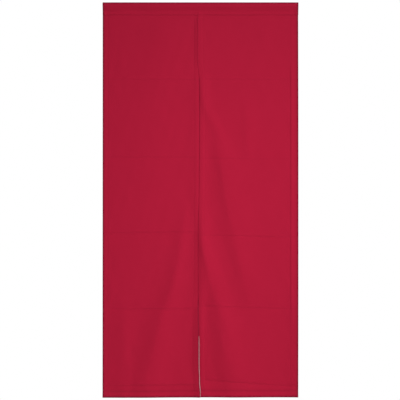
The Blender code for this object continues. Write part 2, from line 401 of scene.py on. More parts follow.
def lap(panel, x, drop):
    """How far the lap lifts the right panel or presses the left one back, with its seam's swell."""
    _, right_edge = at_edges(RIGHT, EDGES, drop)
    past = x - right_edge
    reach = np.where(past < 0, SEAM_SWELL_LEFT, SEAM_SWELL_RIGHT)
    freed = smooth((drop - SEAM_FADES_FROM) / SEAM_FADES_OVER)
    level = smooth((drop - SLEEVE_DROP) / SEAM_SWELLS_OVER) * (1 - freed)
    swell = SEAM_SWELL * bump_at(past, reach) * level
    if panel is RIGHT:
        return swell + mix(SEWN_LAP_STEP, LAP_STEP, freed) * bump_at(past, LAP_REACH)
    return swell - UNDER_LAP * smooth((past + UNDER_LAP_STARTS) / UNDER_LAP_RUN)


def curls(panel, across, from_slit, drop):
    """How far the panel's two side edges curl to the front."""
    outer, inner = at_edges(panel, CURLS, drop)
    at_outer = outer * bump_at(np.maximum(across, 0.0), OUTER_CURL_REACH)
    return at_outer + inner * bump_at(np.maximum(from_slit, 0.0), INNER_CURL_REACH)


def creases(panel, inwards, to_slit, drop):
    """How far the packing creases stand out."""
    total = 0.0
    firmness = mix(CREASE_OUTER_SHARE, 1.0, smooth((inwards - CREASE_FIRMS_FROM) / CREASE_FIRMS_OVER))
    for crease in CREASES[panel.side]:
        below = drop - mix(crease.outer_mm, crease.inner_mm, inwards) * MM
        away = np.abs(below)
        shape = np.exp(-away / CREASE_LINE) + CREASE_BEND_SHARE * (1 - smooth(away / CREASE_BEND))
        total = total + mix(crease.outer_height_mm, crease.inner_height_mm, inwards) * MM * shape
        step_back = np.tanh(below / CREASE_STEP_RUN) * np.exp(-away / CREASE_STEP_FADE)
        total = total - crease.step_mm / 2 * MM * firmness * step_back
    return total * smooth(to_slit / CREASE_FREE_EDGE)


def hem_relief(panel, drop, from_outer, from_slit, from_foot, unevenness):
    """How far the hems lift the front of the cloth, and how their stitches draw it in."""
    total = 0.0
    outer_rise, inner_rise = at_edges(panel, RISES, drop)
    sides = (
        (from_outer, panel.outer_hem, outer_rise, OUTER_FALL_SHARE),
        (from_slit, panel.inner_hem, inner_rise, INNER_FALL_SHARE),
        (from_foot, panel.foot_hem, FOOT_RISE, FOOT_FALL_SHARE),
    )
    for distance, width, rise, fall_share in sides:
        lifted = smooth((width + RISE_STARTS - distance) / RISE_RUN)
        fallen = smooth((width - FALL_STARTS - distance) / FALL_RUN)
        total = total + rise * (lifted - fall_share * fallen)
        total = total + PUCKER * bump_at(distance - (width - STITCHES_IN), PUCKER_REACH) * unevenness
    foot_stitches = panel.foot_hem - STITCHES_IN
    puff = np.sin(math.pi * np.clip(from_foot / foot_stitches, 0.0, 1.0)) ** 2
    return total + FOOT_PUFF * puff - STITCH_VALLEY * bump_at(from_foot - foot_stitches, VALLEY_REACH)


def nominal_rows(panel):
    """Places of the lines that the rows follow, as cut: tucked top, creases, foot hem and foot."""
    middles = [(crease.outer_mm + crease.inner_mm) / 2 * MM for crease in CREASES[panel.side]]
    return [TUCKED_FROM, *middles, LENGTH - panel.foot_hem, LENGTH]


def hung_drop(panel, place, inwards):
    """The drop at which a place down the cut cloth hangs. Rows follow the creases and the slanting foot."""
    slants = [(crease.outer_mm - crease.inner_mm) / 2 * MM for crease in CREASES[panel.side]]
    outer = [0.0, *slants] + [panel.outer_length - LENGTH] * 2
    inner = [0.0, *(-slant for slant in slants)] + [panel.inner_length - LENGTH] * 2
    rows = nominal_rows(panel)
    return place + mix(np.interp(place, rows, outer), np.interp(place, rows, inner), inwards)


def face_width(panel):
    """The panel's width between its fold lines, as cut."""
    outer_x, inner_x = at_edges(panel, EDGES, LENGTH / 2)
    return abs(inner_x - outer_x) - HEM_STEP


RIPPLE_SEEDS = {"left": 11, "right": 12}
PUCKER_SEEDS = {"left": 21, "right": 22}
ripples_of = {side: ripples(seed, RIPPLE_ACROSS, RIPPLE_DOWN) for side, seed in RIPPLE_SEEDS.items()}
puckers_of = {side: ripples(seed, PUCKER_SIZE, PUCKER_SIZE) for side, seed in PUCKER_SEEDS.items()}


def on_panel(panel, across, outer_turn, slit_turn, place, foot_turn):
    """Middle of the cloth's thickness, at places across and down its face and round its hems' turns."""
    width = face_width(panel)
    inwards = np.clip(across / width, 0.0, 1.0)
    by_side_hem = np.maximum(
        1 - smooth((across - panel.outer_hem) / LAYERS_THIN_OVER),
        1 - smooth((width - across - panel.inner_hem) / LAYERS_THIN_OVER),
    )
    stack = HEM_STEP * (1 + 2 * by_side_hem)
    above_foot = LENGTH - place
    drop = hung_drop(panel, place, inwards)
    drop = drop - stack / 2 * (1 - smooth((above_foot - panel.foot_hem) / DRAWN_UP_OVER))
    outer_x, inner_x = at_edges(panel, EDGES, drop)
    hung_width = np.abs(inner_x - outer_x) - HEM_STEP
    spread = smooth((across - LEAN_CLEAR) / (width - 2 * LEAN_CLEAR))
    from_outer = across + (hung_width - width) * spread
    outer_behind, outer_past = turned(0.0, HEM_STEP, outer_turn)
    slit_behind, slit_past = turned(0.0, HEM_STEP, slit_turn)
    x = outer_x + panel.to_slit * (HEM_STEP / 2 + from_outer - outer_past + slit_past)
    to_slit = np.abs(inner_x - x)

    below_sleeve = smooth((drop - SLEEVE_DROP - RELIEF_FROM) / RELIEF_RUN)
    loose = np.maximum(smooth((drop - SLIT_HEAD) / FREED_OVER), smooth(to_slit / SEWN_FLAT))
    height = HUNG_FACE - CLOTH / 2 + SWING_OUT * smooth((drop - SLEEVE_DROP - SWING_FROM) / SWING_RUN)
    height = height + lap(panel, x, drop) + curls(panel, across, width - across, drop) * below_sleeve
    height = height + folds(panel, x, drop) * loose + creases(panel, inwards, to_slit, drop)
    past_free_edge = smooth(to_slit / RIPPLE_FREE_EDGE)
    height = height + RIPPLE * ripples_of[panel.side](x, drop) * past_free_edge * below_sleeve
    relief = hem_relief(panel, drop, across, width - across, above_foot, puckers_of[panel.side](x, drop))
    height = height + relief * below_sleeve

    side_behind = outer_behind + slit_behind
    behind, past_foot = turned(side_behind, stack, foot_turn)
    outer_stitches = bump_at(across - (panel.outer_hem - STITCHES_IN), STITCH_GROOVE)
    slit_stitches = bump_at(width - across - (panel.inner_hem - STITCHES_IN), STITCH_GROOVE)
    foot_stitches = bump_at(above_foot - (panel.foot_hem - STITCHES_IN), STITCH_GROOVE)
    at_front = (outer_turn + slit_turn < math.pi / 2) & (foot_turn < math.pi / 2)
    pinch = np.maximum(np.maximum(outer_stitches, slit_stitches), foot_stitches)
    behind = behind + pinch * np.where(at_front, FRONT_PINCH, -BACK_PINCH)
    return np.stack(np.broadcast_arrays(x, behind - height, TOP_EDGE - drop - past_foot), axis=-1)


def hem_lines(width):
    """Places of grid lines across a hem, measured in from its fold line and closest by the stitches."""
    stitches = width - STITCHES_IN
    plain = np.linspace(0.0, stitches - GROOVE_CLEAR, PLAIN_HEM_LINES)
    return np.array([*plain, stitches - GROOVE_STEP, stitches, stitches + GROOVE_STEP, width])


def panel_columns(panel):
    """The grid's columns, as places across the face and turns over the outer and slit side hems."""
    width = face_width(panel)
    turns = np.linspace(0.0, math.pi, TURN_STEPS + 1)
    outer = hem_lines(panel.outer_hem)
    slit = hem_lines(panel.inner_hem)
    body_from = panel.outer_hem + CLEAR_OF_HEM
    body_to = width - panel.inner_hem - CLEAR_OF_HEM
    body = np.linspace(body_from, body_to, round((body_to - body_from) / BODY_STEP))
    columns = [(place, math.pi, 0.0) for place in outer[:0:-1]]
    columns += [(0.0, turn, 0.0) for turn in turns[:0:-1]]
    columns += [(place, 0.0, 0.0) for place in (*outer, *body, *(width - slit[::-1]))]
    columns += [(width, 0.0, turn) for turn in turns[1:]]
    columns += [(width - place, 0.0, math.pi) for place in slit[1:]]
    return np.array(columns)


def panel_rows(panel):
    """The grid's rows, as places down the face and turns over the foot hem."""
    lines = nominal_rows(panel)
    foot = hem_lines(panel.foot_hem)
    turns = np.linspace(0.0, math.pi, TURN_STEPS + 1)
    by_creases = [[line + row * MM for row in CREASE_ROWS_MM] for line in lines[1:-2]]
    stops = [[lines[0]], *by_creases, [lines[-2] - CLEAR_OF_HEM]]
    face = []
    for upper, lower in zip(stops, stops[1:]):
        gap = lower[0] - upper[-1]
        face += upper + list(np.linspace(upper[-1], lower[0], max(2, round(gap / ROW_STEP)))[1:-1])
    face += stops[-1] + list(LENGTH - foot[::-1])
    rows = [(place, 0.0) for place in face]
    rows += [(LENGTH, turn) for turn in turns[1:]]
    rows += [(LENGTH - place, math.pi) for place in foot[1:]]
    return np.array(rows)


def cut_place(places, turns):
    """Distances along the flat cloth from places and turns along the hung one."""
    steps = np.abs(np.diff(places)) + np.abs(np.diff(turns)) * HEM_STEP / 2
    return np.concatenate([[0.0], np.cumsum(steps)])


def cloth_sheet(name, points, across, down, thickness, finish):
    """A grid of points as one sheet of cloth. Its map is the flat cloth, and its thickness may vary."""
    rows, columns = points.shape[:2]
    numbers = np.arange(rows * columns).reshape(rows, columns)
    loops = np.stack([numbers[:-1, :-1], numbers[1:, :-1], numbers[1:, 1:], numbers[:-1, 1:]], axis=-1)
    mesh = bpy.data.meshes.new(name)
    mesh.from_pydata(points.reshape(-1, 3).tolist(), [], loops.reshape(-1, 4).tolist())
    flat = np.stack(np.meshgrid(across, -down), axis=-1).reshape(-1, 2)
    mesh.uv_layers.new(name="flat_cloth").data.foreach_set("uv", flat[loops.reshape(-1)].ravel())
    mesh.materials.append(finish)
    mesh.shade_smooth()
    piece = bpy.data.objects.new(name, mesh)
    bpy.context.scene.collection.objects.link(piece)
    group = piece.vertex_groups.new(name="thickness")
    shares = np.round(thickness.ravel() / thickness.max(), 3)
    for share in np.unique(shares):
        group.add(np.flatnonzero(shares == share).tolist(), float(share), "REPLACE")
    solid = piece.modifiers.new("cloth", "SOLIDIFY")
    solid.thickness = thickness.max()
    solid.offset = 0
    solid.vertex_group = group.name
    bpy.context.view_layer.objects.active = piece
    piece.select_set(True)
    bpy.ops.object.modifier_apply(modifier=solid.name)
    piece.select_set(False)
    return piece


# The cloth's dye, from its lightest to its deepest patches, and the darker crimson of the painted shade
# along its folds, creases and stitches
CRIMSON = (0.400, 0.0080, 0.0350, 1.0)
DEEP_CRIMSON = (0.372, 0.0069, 0.0308, 1.0)
PAINTED_SHADE_CRIMSON = (0.190, 0.0055, 0.0220, 1.0)
SLUB_SHADE = 0.32
DYE_SHADE = 0.60

# Distance between yarns, and the shares of the fine relief that yarns and slubs make
YARN_STEP = 0.55 * MM
YARN_RELIEF = 0.55
SLUB_RELIEF = 0.35

# A line on the flat cloth darkened with painted shade: a folded edge, a crease or a row of stitches, where
# shade falls. At a hard fold its share is 1. One that runs down the cloth may start part of the way down,
# and comes in over FADE_IN
PaintedShadeLine = namedtuple("PaintedShadeLine", "axis place reach share starts", defaults=(0.0,))
FADE_IN = 80 * MM
# Reaches and shares of the painted shade beside folded edges, the slit's fold, stitches, the foot's stitches
# and creases
FOLD_REACH = 12 * MM
SLIT_FOLD_REACH = 8 * MM
STITCH_REACH = 4 * MM
FOOT_STITCH_REACH = 9 * MM
CREASE_REACH = 5 * MM
OUTER_STITCH_SHARE = 0.12
INNER_STITCH_SHARE = 0.03
FOOT_STITCH_SHARE = 0.26
CREASE_SHARE = 0.07


def crimson_plain_weave(name, painted_shade_lines):
    """Matt plain weave of crimson yarn with a short soft nap, darkened with painted shade where folded hard,
    creased or stitched.
    """
    finish = bpy.data.materials.new(name)
    finish.use_nodes = True
    tree = finish.node_tree
    surface = tree.nodes["Principled BSDF"]
    surface.inputs["Roughness"].default_value = 0.88
    surface.inputs["Specular IOR Level"].default_value = 0.08
    surface.inputs["Sheen Weight"].default_value = 0.12
    surface.inputs["Sheen Roughness"].default_value = 0.55
    surface.inputs["Sheen Tint"].default_value = (1.0, 0.20, 0.30, 1.0)
    flat = tree.nodes.new("ShaderNodeUVMap")
    flat.uv_map = "flat_cloth"

    def yarns(direction):
        """The wave of the yarns that lie side by side in this direction, from -0.5 to 0.5.

        A wave texture at scale 1 repeats every pi / 10, and a plain weave repeats every two yarns.
        """
        wave = tree.nodes.new("ShaderNodeTexWave")
        wave.bands_direction = direction
        wave.inputs["Scale"].default_value = math.pi / 10 / (2 * YARN_STEP)
        wave.inputs["Distortion"].default_value = 0.6
        wave.inputs["Detail Scale"].default_value = 0.5
        centred = tree.nodes.new("ShaderNodeMath")
        centred.operation = "SUBTRACT"
        centred.inputs[1].default_value = 0.5
        tree.links.new(flat.outputs["UV"], wave.inputs["Vector"])
        tree.links.new(wave.outputs["Fac"], centred.inputs[0])
        return centred.outputs[0]

    def patches(across, down, detail):
        """Soft uneven patches of this size on the flat cloth, from 0 to 1."""
        stretch = tree.nodes.new("ShaderNodeMapping")
        stretch.inputs["Scale"].default_value = (1 / across, 1 / down, 1.0)
        noise = tree.nodes.new("ShaderNodeTexNoise")
        noise.inputs["Scale"].default_value = 1.0
        noise.inputs["Detail"].default_value = detail
        tree.links.new(flat.outputs["UV"], stretch.inputs["Vector"])
        tree.links.new(stretch.outputs["Vector"], noise.inputs["Vector"])
        return noise.outputs["Fac"]

    def joined(operation, first, second):
        both = tree.nodes.new("ShaderNodeMath")
        both.operation = operation
        for socket, value in zip(both.inputs, (first, second)):
            if isinstance(value, (int, float)):
                socket.default_value = value
            else:
                tree.links.new(value, socket)
        return both.outputs[0]

    weft_slubs = patches(45 * MM, 0.9 * MM, 2.0)
    warp_slubs = patches(0.9 * MM, 60 * MM, 2.0)
    slubs = joined("ADD", weft_slubs, warp_slubs)
    dye = patches(110 * MM, 160 * MM, 3.0)
    shade = joined("ADD", joined("MULTIPLY", slubs, SLUB_SHADE), joined("MULTIPLY", dye, DYE_SHADE))
    colour = tree.nodes.new("ShaderNodeMix")
    colour.data_type = "RGBA"
    colour.inputs["A"].default_value = DEEP_CRIMSON
    colour.inputs["B"].default_value = CRIMSON
    tree.links.new(shade, colour.inputs["Factor"])
    place_on = tree.nodes.new("ShaderNodeSeparateXYZ")
    tree.links.new(flat.outputs["UV"], place_on.inputs["Vector"])
    # Painted shade: each line below mixes a darker crimson into the dye, most at its middle and fading over
    # its reach
    strongest_painted_shade = 0.0
    for line in painted_shade_lines:
        away = joined("ABSOLUTE", joined("SUBTRACT", place_on.outputs[line.axis], line.place), 0.0)
        fade = tree.nodes.new("ShaderNodeMapRange")
        fade.interpolation_type = "SMOOTHSTEP"
        fade.inputs["From Max"].default_value = line.reach
        fade.inputs["To Min"].default_value = line.share
        fade.inputs["To Max"].default_value = 0.0
        tree.links.new(away, fade.inputs["Value"])
        depth = fade.outputs["Result"]
        if line.starts:
            come_in = tree.nodes.new("ShaderNodeMapRange")
            come_in.interpolation_type = "SMOOTHSTEP"
            come_in.inputs["From Min"].default_value = -line.starts
            come_in.inputs["From Max"].default_value = -line.starts - FADE_IN
            tree.links.new(place_on.outputs["Y"], come_in.inputs["Value"])
            depth = joined("MULTIPLY", depth, come_in.outputs["Result"])
        strongest_painted_shade = joined("MAXIMUM", depth, strongest_painted_shade)
    # The painted shade is laid over the dye's colour here
    painted_shade_mix = tree.nodes.new("ShaderNodeMix")
    painted_shade_mix.data_type = "RGBA"
    painted_shade_mix.inputs["B"].default_value = PAINTED_SHADE_CRIMSON
    tree.links.new(strongest_painted_shade, painted_shade_mix.inputs["Factor"])
    tree.links.new(colour.outputs["Result"], painted_shade_mix.inputs["A"])
    tree.links.new(painted_shade_mix.outputs["Result"], surface.inputs["Base Color"])

    crossings = joined("MULTIPLY", yarns("X"), yarns("Y"))
    yarn_relief = joined("MULTIPLY", crossings, YARN_RELIEF)
    relief = joined("ADD", yarn_relief, joined("MULTIPLY", slubs, SLUB_RELIEF))
    bump = tree.nodes.new("ShaderNodeBump")
    bump.inputs["Strength"].default_value = 0.5
    bump.inputs["Distance"].default_value = 0.12 * MM
    tree.links.new(relief, bump.inputs["Height"])
    tree.links.new(bump.outputs["Normal"], surface.inputs["Normal"])
    return finish


# Hem thread: lockstitches of matching spun thread, a little apart along each hem, on both faces. The rings
# round a stitch are given by their share of its length, and their thickness and lift in thread radii
STITCH_STEP = 3.3 * MM
STITCH_LENGTH = 2.7 * MM
THREAD_RADIUS = 0.16 * MM
THREAD_SIDES = 5
StitchRing = namedtuple("StitchRing", "share thickness lift")
STITCH_RINGS = (
    StitchRing(0.00, 0.0, -1.2),
    StitchRing(0.14, 0.8, -0.2),
    StitchRing(0.50, 1.0, 0.3),
    StitchRing(0.86, 0.8, -0.2),
    StitchRing(1.00, 0.0, -1.2),
)


def run_of_stitches(line, outward):
    """Starts, ends and outward directions of the stitches along a line of points."""
    travelled = np.concatenate([[0.0], np.cumsum(np.linalg.norm(np.diff(line, axis=0), axis=1))])
    starts = np.arange(0.0, travelled[-1] - STITCH_LENGTH, STITCH_STEP)
    outward = np.broadcast_to(outward, line.shape)

    def at(values, places):
        return np.stack([np.interp(places, travelled, column) for column in values.T], axis=-1)

    return at(line, starts), at(line, starts + STITCH_LENGTH), at(outward, starts + STITCH_LENGTH / 2)


def thread_piece(name, runs, finish):
    """Runs of stitches as one mesh. Each stitch is a spindle that dips into the cloth at its ends."""
    starts, ends, outward = (np.concatenate(parts) for parts in zip(*runs))
    forward = (ends - starts) / np.linalg.norm(ends - starts, axis=1, keepdims=True)
    sideways = np.cross(forward, outward)
    sideways /= np.linalg.norm(sideways, axis=1, keepdims=True)
    upward = np.cross(sideways, forward)
    angles = np.arange(THREAD_SIDES) * 2 * math.pi / THREAD_SIDES
    rings = []
    for share, thickness, lift in STITCH_RINGS:
        middle = mix(starts, ends, share) + upward * lift * THREAD_RADIUS
        corners = angles if thickness else angles[:1]
        for angle in corners:
            away = sideways * math.cos(angle) + upward * math.sin(angle)
            rings.append(middle + away * thickness * THREAD_RADIUS)
    points = np.stack(rings, axis=1)
    count = points.shape[1]
    first, last = 0, count - 1
    faces = []
    for side in range(THREAD_SIDES):
        beside = (side + 1) % THREAD_SIDES
        faces.append((first, 1 + side, 1 + beside))
        for ring in range(len(STITCH_RINGS) - 3):
            near, far = 1 + ring * THREAD_SIDES, 1 + (ring + 1) * THREAD_SIDES
            faces.append((near + side, far + side, far + beside, near + beside))
        final = last - THREAD_SIDES
        faces.append((final + side, last, final + beside))
    mesh = bpy.data.meshes.new(name)
    every = [
        tuple(corner + stitch * count for corner in face)
        for stitch in range(len(points))
        for face in faces
    ]
    mesh.from_pydata(points.reshape(-1, 3).tolist(), [], every)
    mesh.materials.append(finish)
    mesh.shade_smooth()
    piece = bpy.data.objects.new(name, mesh)
    bpy.context.scene.collection.objects.link(piece)
    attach(piece, "root")
    return piece


def crimson_thread():
    """Spun sewing thread, dyed a shade deeper than the cloth."""
    finish = bpy.data.materials.new("crimson_thread")
    finish.use_nodes = True
    tree = finish.node_tree
    surface = tree.nodes["Principled BSDF"]
    surface.inputs["Roughness"].default_value = 0.7
    surface.inputs["Specular IOR Level"].default_value = 0.15
    surface.inputs["Sheen Weight"].default_value = 0.1
    surface.inputs["Sheen Tint"].default_value = (1.0, 0.2, 0.3, 1.0)
    place = tree.nodes.new("ShaderNodeTexCoord")
    fibres = tree.nodes.new("ShaderNodeTexNoise")
    fibres.inputs["Scale"].default_value = 1500.0
    fibres.inputs["Detail"].default_value = 2.0
    colour = tree.nodes.new("ShaderNodeMix")
    colour.data_type = "RGBA"
    colour.inputs["A"].default_value = (0.24, 0.004, 0.019, 1.0)
    colour.inputs["B"].default_value = (0.34, 0.006, 0.028, 1.0)
    twist = tree.nodes.new("ShaderNodeBump")
    twist.inputs["Strength"].default_value = 0.4
    twist.inputs["Distance"].default_value = 0.05 * MM
    tree.links.new(place.outputs["Object"], fibres.inputs["Vector"])
    tree.links.new(fibres.outputs["Fac"], colour.inputs["Factor"])
    tree.links.new(colour.outputs["Result"], surface.inputs["Base Color"])
    tree.links.new(fibres.outputs["Fac"], twist.inputs["Height"])
    tree.links.new(twist.outputs["Normal"], surface.inputs["Normal"])
    return finish


FRONT = np.array((0.0, -1.0, 0.0))
BACK = np.array((0.0, 1.0, 0.0))

# Points on a line of stitches are this far apart. It starts just below the lips, or clear of a side edge
STITCH_LINE_STEP = 2 * MM
BELOW_LIPS = 1 * MM
CLEAR_OF_SIDE = 4 * MM
hem_thread = crimson_thread()


def hem_runs(panel):
    """The stitching of both side hems and the foot hem, on the front and on the back."""
    width = face_width(panel)
    beside_outer = panel.outer_hem - STITCHES_IN
    beside_slit = width - panel.inner_hem + STITCHES_IN
    above_foot = panel.foot_hem - STITCHES_IN
    down = np.arange(SLEEVE_DROP + BELOW_LIPS, LENGTH, STITCH_LINE_STEP)
    down_back = down[down < LENGTH - panel.foot_hem]
    over = np.arange(CLEAR_OF_SIDE, width - CLEAR_OF_SIDE, STITCH_LINE_STEP)
    foot = LENGTH - above_foot
    front = (
        (beside_outer, 0.0, 0.0, down, 0.0),
        (beside_slit, 0.0, 0.0, down, 0.0),
        (over, 0.0, 0.0, foot, 0.0),
    )
    back = (
        (beside_outer, math.pi, 0.0, down_back, 0.0),
        (beside_slit, 0.0, math.pi, down_back, 0.0),
        (over, 0.0, 0.0, foot, math.pi),
    )
    return [
        run_of_stitches(on_panel(panel, *line) + outward * thickness / 2, outward)
        for lines, outward, thickness in ((front, FRONT, CLOTH), (back, BACK, TURNED_CLOTH))
        for line in lines
    ]


# How strong the painted shade along each panel's slit fold is, and how far down that starts
SLIT_FOLD_SHADES = {"left": (0.9, 0.0), "right": (0.3, 1330 * MM)}


def panel_shade_lines(panel, wide, long):
    """The lines of painted shade along a panel's three hem folds, their stitch lines and its creases, on
    flat cloth this wide and long.
    """
    half_turn = math.pi / 2 * HEM_STEP / 2
    outer, inner, foot = (hem + half_turn for hem in (panel.outer_hem, panel.inner_hem, panel.foot_hem))
    outer_fold = PaintedShadeLine("X", outer, FOLD_REACH, 1.0)
    slit_fold = PaintedShadeLine("X", wide - inner, SLIT_FOLD_REACH, *SLIT_FOLD_SHADES[panel.side])
    foot_fold = PaintedShadeLine("Y", foot - long, FOLD_REACH, 1.0)
    hems = (
        (panel.outer_hem, outer_fold, STITCH_REACH, OUTER_STITCH_SHARE),
        (panel.inner_hem, slit_fold, STITCH_REACH, INNER_STITCH_SHARE),
        (panel.foot_hem, foot_fold, FOOT_STITCH_REACH, FOOT_STITCH_SHARE),
    )
    shade_lines = []
    for hem, fold, stitch_reach, stitch_share in hems:
        to_stitches = hem - STITCHES_IN + half_turn
        shade_lines.append(fold)
        for side in (-1, 1):
            shade_lines.append(PaintedShadeLine(fold.axis, fold.place + side * to_stitches, stitch_reach, stitch_share))
    # Each crease gets a thin line of painted shade
    for crease in nominal_rows(panel)[1:-2]:
        shade_lines.append(PaintedShadeLine("Y", TUCKED_FROM - crease, CREASE_REACH, CREASE_SHARE))
    return shade_lines


for panel in PANELS:
    columns = panel_columns(panel)
    rows = panel_rows(panel)
    across, outer_turn, slit_turn = (values[None, :] for values in columns.T)
    place, foot_turn = (values[:, None] for values in rows.T)
    points = on_panel(panel, across, outer_turn, slit_turn, place, foot_turn)
    turned_share = np.clip(np.maximum(outer_turn + slit_turn, foot_turn) / math.pi, 0.0, 1.0)
    thickness = mix(CLOTH, TURNED_CLOTH, turned_share)
    cut_across = cut_place(columns[:, 0], columns[:, 1] + columns[:, 2])
    cut_down = cut_place(rows[:, 0], rows[:, 1])
    # Lines of painted shade along the panel's folds, stitches and creases
    painted_shade_lines = panel_shade_lines(panel, cut_across[-1], cut_down[-1])
    weave = crimson_plain_weave(panel.side + "_panel_weave", painted_shade_lines)
    # The right panel is worked out from its right edge, so its columns are taken the other way round
    way = panel.to_slit
    name = panel.side + "_panel_cloth"
    cloth = cloth_sheet(name, points[:, ::way], cut_across[::way], cut_down, thickness[:, ::way], weave)
    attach(cloth, "root")
    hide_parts(panel.side + "_panel")
    stitches = thread_piece(panel.side + "_hem_thread", hem_runs(panel), hem_thread)


# The lap seam
# The right panel's inner hem is laid over the left's and lockstitched through, from the sleeve down to the
# slit's head. A bar tack of the same thread stops the seam from tearing open there.

# How far the seam runs in from the edge, and the tack's height, its stitches' spacing and its reach
SEAM_IN = 2.4 * MM
TACK_HEIGHT = 2.2 * MM
TACK_STEP = 0.45 * MM
TACK_REACH_MM = (1.0, 9.5)


def seam_line(panel, from_edge, drops, at_back):
    """Points down one face of the lap, this far in from the right panel's edge."""
    _, right_edge = at_edges(RIGHT, EDGES, drops)
    _, inner_x = at_edges(panel, EDGES, drops)
    from_slit = np.abs(right_edge + from_edge - inner_x) - HEM_STEP / 2
    turn = math.pi if at_back else 0.0
    line = on_panel(panel, face_width(panel) - from_slit, 0.0, turn, drops, 0.0)
    return line + (BACK * TURNED_CLOTH / 2 if at_back else FRONT * CLOTH / 2)


sewn = np.arange(SLEEVE_DROP + BELOW_LIPS, SLIT_HEAD, STITCH_LINE_STEP)
tack_places = np.arange(*TACK_REACH_MM, TACK_STEP / MM) * MM
tack_top = np.concatenate([seam_line(RIGHT, place, np.array([SLIT_HEAD]), False) for place in tack_places])
tack_foot = tack_top - np.array((0.0, 0.0, TACK_HEIGHT))
tack = (tack_top, tack_foot, np.broadcast_to(FRONT, tack_top.shape))
seam_thread = thread_piece(
    "lap_seam_thread",
    [
        run_of_stitches(seam_line(RIGHT, SEAM_IN, sewn, False), FRONT),
        run_of_stitches(seam_line(LEFT, SEAM_IN, sewn, True), BACK),
        tack,
    ],
    hem_thread,
)


# The rod sleeve
# One full-width strip of the same cloth, hemmed at its two ends and folded over the rod. Its lips are turned
# under and stitched to the front and back of the panels' tops, and its ends stay open for the rod.

# Its width and the round over the rod, then depths below the rod's line: where its walls leave the round,
# come together, and end in the lips, and how far out each lip's face is
SLEEVE_WIDTH = 850 * MM
SLEEVE_RADIUS = 12 * MM
WALL_FROM = 11 * MM
NECK_DEPTH = 43 * MM
LIP_DEPTH = 53.3 * MM
LIP_HALF = 1.75 * MM

# Its turned cloth: how far one layer lies behind another, how far the lips and end hems turn in, their
# stitches, and the groove that these make
LIP_STEP = 0.6 * MM
LIP_UNDER = 8 * MM
SLEEVE_STITCHES = 50.6 * MM
END_HEM = 10 * MM
END_STITCHES = 8 * MM
SLEEVE_GROOVE = 1.5 * MM
SLEEVE_PINCH = 0.2 * MM
SLEEVE_END = SLEEVE_WIDTH / 2 - LIP_STEP / 2

# The lips swell over the lapped hems, mostly in front, and over their own folded corners
LAP_SWELL = 1.2 * MM
LAP_SWELL_BEHIND = 0.2
LAP_MIDDLE = -8 * MM
LAP_HALF = 16 * MM
CORNER_SWELL = 1.0 * MM
CORNER_THINS_OVER = 7 * MM
LIP_SWELL_FROM = 28 * MM
LIP_SWELL_RUN = 18 * MM

# Slow ripples in the walls, between the round and the stitches, puckers above the stitches, and one crease
# down the front
SLEEVE_RIPPLE = 0.45 * MM
RIPPLE_LONG = 170 * MM
RIPPLE_HIGH = 90 * MM
RIPPLES_FROM = 6 * MM
RIPPLES_COME_IN = 20 * MM
RIPPLES_TO = 38 * MM
RIPPLES_GO_OUT = 12 * MM
SLEEVE_PUCKER = 0.22 * MM
PUCKER_LONG = 17 * MM
PUCKER_HIGH = 60 * MM
PUCKERS_ABOVE = 4 * MM
PUCKERS_REACH = 7 * MM
WALL_RIPPLE_SEED = 31
WALL_PUCKER_SEED = 41
MIDDLE_CREASE = 0.25 * MM
MIDDLE_CREASE_X = -13 * MM
MIDDLE_CREASE_REACH = 2.5 * MM

# Places of the grid lines: steps round a turned edge and over the rod, rows by the stitches and down a wall,
# and columns in from the fold of an end hem and along the body
LIP_TURN_STEPS = 4
CROWN_STEPS = 8
UNDER_LIP_ROWS = (LIP_DEPTH - LIP_UNDER, 48 * MM, SLEEVE_STITCHES, LIP_DEPTH - 0.8 * MM)
BY_STITCH_ROWS_MM = (1.2, 0, -1.2, -2.8, -5)
WALL_ROWS = 12
END_HEM_COLUMNS_MM = (0.0, 2.5, 5, 6.8, 8, 9.2, 10)
BODY_CLEAR = 13 * MM
SLEEVE_STEP = 3.6 * MM

wall_ripples = {side: ripples(WALL_RIPPLE_SEED + side, RIPPLE_LONG, RIPPLE_HIGH) for side in (-1, 1)}
wall_puckers = {side: ripples(WALL_PUCKER_SEED + side, PUCKER_LONG, PUCKER_HIGH) for side in (-1, 1)}


